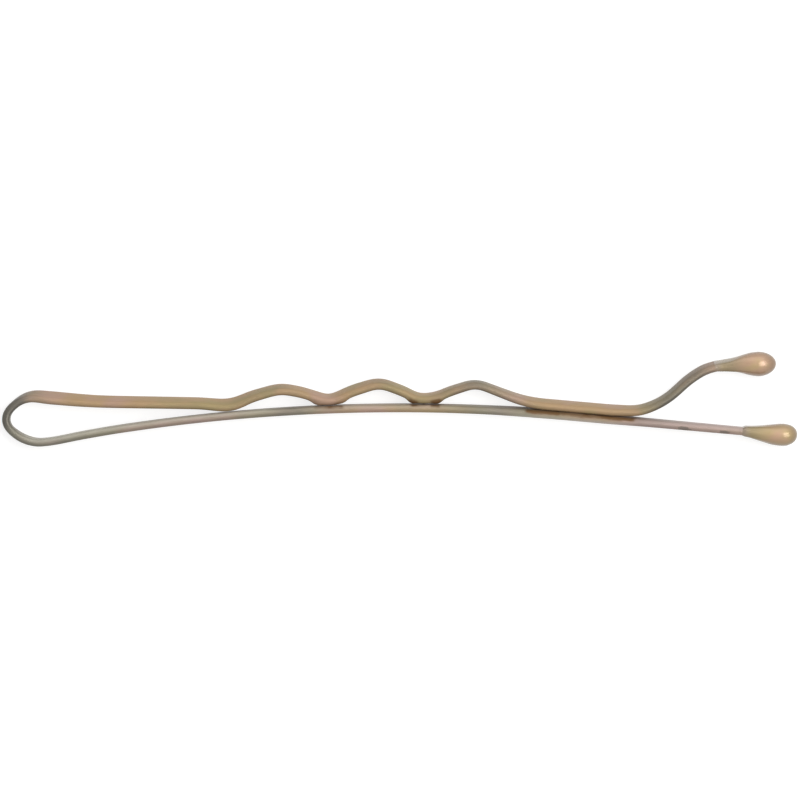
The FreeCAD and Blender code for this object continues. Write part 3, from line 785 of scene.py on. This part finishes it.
class Nodes:
    """A few words for building the node tree of a material or a world."""

    def __init__(self, owner):
        owner.use_nodes = True
        self.owner = owner
        self.tree = owner.node_tree
        self.shader = self.tree.nodes.get("Principled BSDF")

    def add(self, kind, inputs=(), **settings):
        """A node with its settings, and with its inputs linked or set to values."""
        node = self.tree.nodes.new(kind)
        for key, value in settings.items():
            setattr(node, key, value)
        for socket, value in dict(inputs).items():
            if isinstance(value, bpy.types.NodeSocket):
                self.tree.links.new(value, node.inputs[socket])
            else:
                node.inputs[socket].default_value = value
        return node

    def stored(self, name):
        """What store() kept on the piece under this name."""
        return self.add("ShaderNodeAttribute", attribute_name=name)

    def stored_three(self, name):
        """The three numbers of a vector that store() kept under this name."""
        vector = self.stored(name).outputs["Vector"]
        return self.add("ShaderNodeSeparateXYZ", {0: vector}).outputs

    def noise(self, place, stretch, detail, roughness):
        """Noise whose grain has these sizes, in millimetres, along, across and up the wire."""
        scale = [1 / length for length in stretch]
        placed = self.add("ShaderNodeMapping", {"Vector": place, "Scale": scale})
        inputs = {"Vector": placed.outputs[0], "Scale": 1.0, "Detail": detail,
                  "Roughness": roughness}
        return self.add("ShaderNodeTexNoise", inputs).outputs[0]

    def between(self, value, start, end, low=0.0, high=1.0):
        """Low at start and high at end, in a straight line between them and level beyond."""
        inputs = {"Value": value, "From Min": start, "From Max": end,
                  "To Min": low, "To Max": high}
        return self.add("ShaderNodeMapRange", inputs).outputs[0]

    def maths(self, operation, *values):
        """The result of a Math node."""
        return self.add("ShaderNodeMath", enumerate(values), operation=operation).outputs[0]

    def vector(self, operation, *values, output="Vector"):
        """The result of a Vector Math node."""
        node = self.add("ShaderNodeVectorMath", enumerate(values), operation=operation)
        return node.outputs[output]

    def mix(self, share, first, second):
        """The first colour at a share of 0 and the second at 1."""
        node = self.add("ShaderNodeMix", data_type="RGBA")
        for socket, value in ((0, share), (6, first), (7, second)):
            if isinstance(value, bpy.types.NodeSocket):
                self.tree.links.new(value, node.inputs[socket])
            else:
                node.inputs[socket].default_value = value
        return node.outputs[2]

    def ramp(self, value, *stops):
        """A colour by the value, through stops of a place and a colour."""
        node = self.add("ShaderNodeValToRGB", {0: value})
        while len(node.color_ramp.elements) < len(stops):
            node.color_ramp.elements.new(0.5)
        for element, (place, colour) in zip(node.color_ramp.elements, stops):
            element.position = place
            element.color = colour
        return node.outputs[0]

    def bump(self, height, depth, under=None):
        """A normal bent by a height from 0 to 1 and its depth in millimetres."""
        inputs = {"Height": height, "Distance": depth * MM, "Strength": 1.0}
        if under is not None:
            inputs["Normal"] = under
        return self.add("ShaderNodeBump", inputs).outputs[0]

    def set(self, **inputs):
        """Sets inputs of the Principled shader; an underscore stands for a space."""
        for name, value in inputs.items():
            socket = self.shader.inputs[name.replace("_", " ")]
            if isinstance(value, bpy.types.NodeSocket):
                self.tree.links.new(value, socket)
            else:
                socket.default_value = value


def chips(nodes, rolled, wire, raggedness):
    """1 where a chip of the lacquer is off, with ragged edges, and 0 around it."""
    nearest = NO_CHIP
    for way, around, half_long, half_wide in CHIPS:
        along = wire.along[int(np.argmin(abs(wire.way - way)))]
        up = half_width - edge_radius + edge_radius * sine(around)
        middle = (along, edge_radius * cosine(around), up)
        away = nodes.vector("SUBTRACT", rolled, middle)
        away = nodes.vector("MULTIPLY", away, (1 / half_long, 1 / half_wide, 1 / half_wide))
        away = nodes.vector("LENGTH", away, output="Value")
        nearest = nodes.maths("MINIMUM", nearest, away)
    ragged = nodes.maths("MULTIPLY_ADD", raggedness, CHIP_RAGGEDNESS, nearest)
    return nodes.between(ragged, *CHIP_EDGE)


def wire_finish(wire):
    """Thin satin gold-tan lacquer, rubbed through to steel at the nose, edges and crests, with
    painted shade on the side away from the far lamp and in the crevices where the legs touch,
    and painted light on one side.
    """
    nodes = Nodes(bpy.data.materials.new("wire_lacquer"))
    rolled = nodes.stored("rolled").outputs["Vector"]
    rub, soil_and_shade, painted_light = nodes.stored_three("marks")
    # The first of the states holds the wear through to steel and the painted shade of
    # SHADED_SIDES
    through, greyed, blush = nodes.stored_three("states")
    up = nodes.add("ShaderNodeSeparateXYZ", {0: rolled}).outputs[2]
    from_middle = nodes.maths("ABSOLUTE", up)
    streaks = nodes.noise(rolled, *STREAK_GRAIN)
    patches = nodes.noise(rolled, *PATCH_GRAIN)

    # The lacquer, fresh or dull, and lighter on one side as painted light
    tone = nodes.maths("MULTIPLY_ADD", blush, BLUSH_PULL, nodes.noise(rolled, *TONE_GRAIN))
    tinted = nodes.mix(greyed, nodes.ramp(tone, *FRESH_TONES), nodes.ramp(tone, *DULL_TONES))
    painted_light_colour = nodes.mix(nodes.between(blush, *PAINTED_LIGHT_BLUSHES), PAINTED_LIGHT_CREAM, PAINTED_LIGHT_PINK)
    lacquer = nodes.mix(painted_light, tinted, painted_light_colour)

    # The steel where the lacquer has worn or chipped off, and the same steel as painted shade
    # on the side in SHADED_SIDES
    steel = nodes.mix(streaks, DARK_STEEL, PALE_STEEL)
    edge = nodes.maths("MULTIPLY", nodes.between(from_middle, *EDGE_PLACES), EDGE_WEAR)
    worn = nodes.maths("ADD", edge, nodes.maths("MULTIPLY", rub, CREST_WEAR))
    worn = nodes.maths("MULTIPLY", worn, nodes.between(patches, *WEAR_PATCHES))
    spread = nodes.between(patches, *NOISE_SPAN, *WEAR_SPREAD)
    worn = nodes.maths("ADD", worn, nodes.maths("MULTIPLY", through, spread))
    bare = chips(nodes, rolled, wire, nodes.noise(rolled, *CHIP_GRAIN))
    off = nodes.maths("MAXIMUM", worn, nodes.maths("MULTIPLY", bare, CHIP_WEAR))
    colour = nodes.mix(off, lacquer, steel)

    # Dirt and painted shade in the crevice where the legs touch, with frayed ends, and
    # blotched on the middle of the face
    stains = nodes.noise(rolled, *STAIN_GRAIN)
    half_soiled_and_shaded = nodes.maths("MULTIPLY", soil_and_shade, nodes.maths("SUBTRACT", 1.0, soil_and_shade))
    frayed = nodes.between(stains, *NOISE_SPAN, *FRAYING)
    dirt_and_shade = nodes.maths("MULTIPLY_ADD", half_soiled_and_shaded, frayed, soil_and_shade)
    unblotched = nodes.between(from_middle, *UNBLOTCHED_PLACES)
    blotches = nodes.maths("MAXIMUM", nodes.between(stains, *BLOTCHES), unblotched)
    colour = nodes.mix(nodes.maths("MULTIPLY", dirt_and_shade, blotches), colour, DIRT_AND_SHADE_BROWN)

    height = nodes.bump(nodes.noise(rolled, *FINE_GRAIN), FINE_DEPTH)
    height = nodes.bump(streaks, STREAK_DEPTH, height)
    height = nodes.bump(nodes.maths("SUBTRACT", 1.0, bare), CHIP_DEPTH, height)
    nodes.set(Base_Color=colour, Metallic=nodes.between(worn, 0, 1, *WIRE_METAL),
              Roughness=nodes.between(streaks, *NOISE_SPAN, *WIRE_ROUGHNESS),
              Normal=height, Specular_IOR_Level=SPECULAR)
    return nodes.owner


def drop_finish():
    """Thick glossy gold-tan lacquer, with less of it on the neck, and painted shade round the
    sides and end.
    """
    nodes = Nodes(bpy.data.materials.new("tip_lacquer"))
    rolled = nodes.stored("rolled").outputs["Vector"]
    swell, blush, rim = nodes.stored_three("swell")
    tone = nodes.noise(rolled, *DROP_TONE_GRAIN)
    tone = nodes.maths("MULTIPLY_ADD", blush, DROP_BLUSH_PULL, tone)
    colour = nodes.mix(swell, nodes.ramp(tone, *NECK_TONES), nodes.ramp(tone, *DROP_TONES))
    colour = nodes.mix(rim, colour, DROP_RIM)
    # Painted shade round the drop's sides and end
    drop_side_shade = nodes.between(nodes.stored("sides").outputs["Fac"], *DROP_SIDE_SHADING)
    colour = nodes.mix(drop_side_shade, colour, SHADED_DROP_SIDE)
    grain = nodes.noise(rolled, *DROP_FINE_GRAIN)
    waves = nodes.noise(rolled, *DROP_WAVE_GRAIN)
    height = nodes.bump(waves, DROP_WAVE_DEPTH, nodes.bump(grain, DROP_FINE_DEPTH))
    nodes.set(Base_Color=colour, Metallic=DROP_METAL, Normal=height,
              Roughness=nodes.between(grain, *NOISE_SPAN, *DROP_ROUGHNESS),
              Specular_IOR_Level=SPECULAR, Coat_Weight=DROP_COAT,
              Coat_Roughness=DROP_COAT_ROUGHNESS)
    return nodes.owner


def give_finishes(wire, stretches, drops):
    """One finish for the stretches of the wire, and one for the drops."""
    finish = wire_finish(wire)
    for piece in stretches:
        piece.data.materials.append(finish)
    finish = drop_finish()
    for piece in drops:
        piece.data.materials.append(finish)


def make_pin():
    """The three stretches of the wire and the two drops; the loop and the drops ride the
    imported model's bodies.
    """
    wire = Wire()
    joints = frame["record"]["behaviour"]["joints"]
    flex = {joint["name"]: Vector(joint["pos_m"]) for joint in joints}
    reach = Vector((FLEX_REACH * MM, 0, 0))
    split = (flex["crimped_leg_flex"] - reach).x / MM + half_length
    plain = make_wire("plain_leg", wire, (-PIN_LENGTH, -split))
    loop = make_wire("loop", wire, (-split, split))
    crimped = make_wire("crimped_leg_wire", wire, (split, PIN_LENGTH))
    far = PIN_LENGTH * DROP_LEG_SHARE
    leg = wire.between(-PIN_LENGTH, -far)
    plain_drop = make_drop("plain_leg_drop", wire, PLAIN_DROP, 0, leg)
    leg = wire.between(far, PIN_LENGTH)
    crimped_drop = make_drop("crimped_leg_drop", wire, CRIMPED_DROP, 1, leg)
    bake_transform(plain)
    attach(loop, "bend")
    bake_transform(crimped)
    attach(plain_drop, "straight_side")
    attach(crimped_drop, "crimped_side")
    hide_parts("straight_leg")
    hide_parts("spring_bend")
    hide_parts("crimped_leg")
    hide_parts("straight_leg_tip")
    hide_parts("crimped_leg_tip")
    give_finishes(wire, (plain, loop, crimped), (plain_drop, crimped_drop))


def seen_directly(nodes):
    """1 for the camera's rays and for what metal, gloss and glass show, 0 for other light."""
    path = nodes.add("ShaderNodeLightPath").outputs
    seen = nodes.maths("MAXIMUM", path["Is Camera Ray"], path["Is Glossy Ray"])
    return nodes.maths("MAXIMUM", seen, path["Is Transmission Ray"])


def make_floor():
    """A white table that keeps the pin's soft shadow. It can't be seen from below."""
    mesh = bpy.data.meshes.new("table_top")
    corners = [(-1, -1), (1, -1), (1, 1), (-1, 1)]
    points = [(x * TABLE_REACH, y * TABLE_REACH, -TABLE_DEPTH) for x, y in corners]
    mesh.from_pydata(points, [], [(0, 1, 2, 3)])
    floor = bpy.data.objects.new("table_top", mesh)
    bpy.context.scene.collection.objects.link(floor)
    nodes = Nodes(bpy.data.materials.new("white_table"))
    nodes.set(Base_Color=TABLE_COLOUR, Roughness=TABLE_ROUGHNESS, Specular_IOR_Level=SPECULAR)
    strength = nodes.maths("MULTIPLY", seen_directly(nodes), FLOOR_GLOW)
    glow = nodes.add("ShaderNodeEmission", {"Color": (*WHITE, 1), "Strength": strength})
    lit = nodes.add("ShaderNodeAddShader", {0: nodes.shader.outputs[0], 1: glow.outputs[0]})
    clear = nodes.add("ShaderNodeBsdfTransparent")
    below = nodes.add("ShaderNodeNewGeometry").outputs["Backfacing"]
    both = {0: below, 1: lit.outputs[0], 2: clear.outputs[0]}
    sides = nodes.add("ShaderNodeMixShader", both).outputs[0]
    nodes.tree.links.new(sides, nodes.tree.nodes["Material Output"].inputs["Surface"])
    mesh.materials.append(nodes.owner)


def make_room():
    """An even white room. It looks white, and its light on the pin is dimmer."""
    world = bpy.data.worlds.new("room")
    bpy.context.scene.world = world
    nodes = Nodes(world)
    strength = nodes.maths("MAXIMUM", seen_directly(nodes), ROOM_LIGHT)
    room = nodes.tree.nodes["Background"].inputs
    room["Color"].default_value = (*WHITE, 1)
    nodes.tree.links.new(strength, room["Strength"])


def make_lamp(name, place, size, power, colour):
    """A soft box that faces the pin; place and size are in metres."""
    light = bpy.data.lights.new(name, "AREA")
    light.shape = "RECTANGLE"
    light.size, light.size_y = size
    light.energy = power
    light.color = colour
    lamp = bpy.data.objects.new(name, light)
    lamp.location = place
    lamp.rotation_euler = (-Vector(place)).to_track_quat("-Z", "Y").to_euler()
    bpy.context.scene.collection.objects.link(lamp)


def make_camera():
    """Straight above the pin, with a long lens, framed as the photograph is."""
    data = bpy.data.cameras.new("camera")
    data.sensor_width = SENSOR_WIDTH
    data.lens = SENSOR_WIDTH * CAMERA_HEIGHT / PICTURE_WIDTH
    data.clip_start = CLIP_START
    data.clip_end = CLIP_END
    camera = bpy.data.objects.new("camera", data)
    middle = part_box("crimped_leg")
    height = (middle[0].z + middle[1].z) / 2 + CAMERA_HEIGHT * MM
    camera.location = (PICTURE_CENTRE[0] * MM, PICTURE_CENTRE[1] * MM, height)
    bpy.context.scene.collection.objects.link(camera)
    bpy.context.scene.camera = camera


make_pin()
make_floor()
make_room()
for lamp_row in LAMPS:
    make_lamp(*lamp_row)
make_camera()
bpy.context.scene.view_settings.view_transform = "Standard"
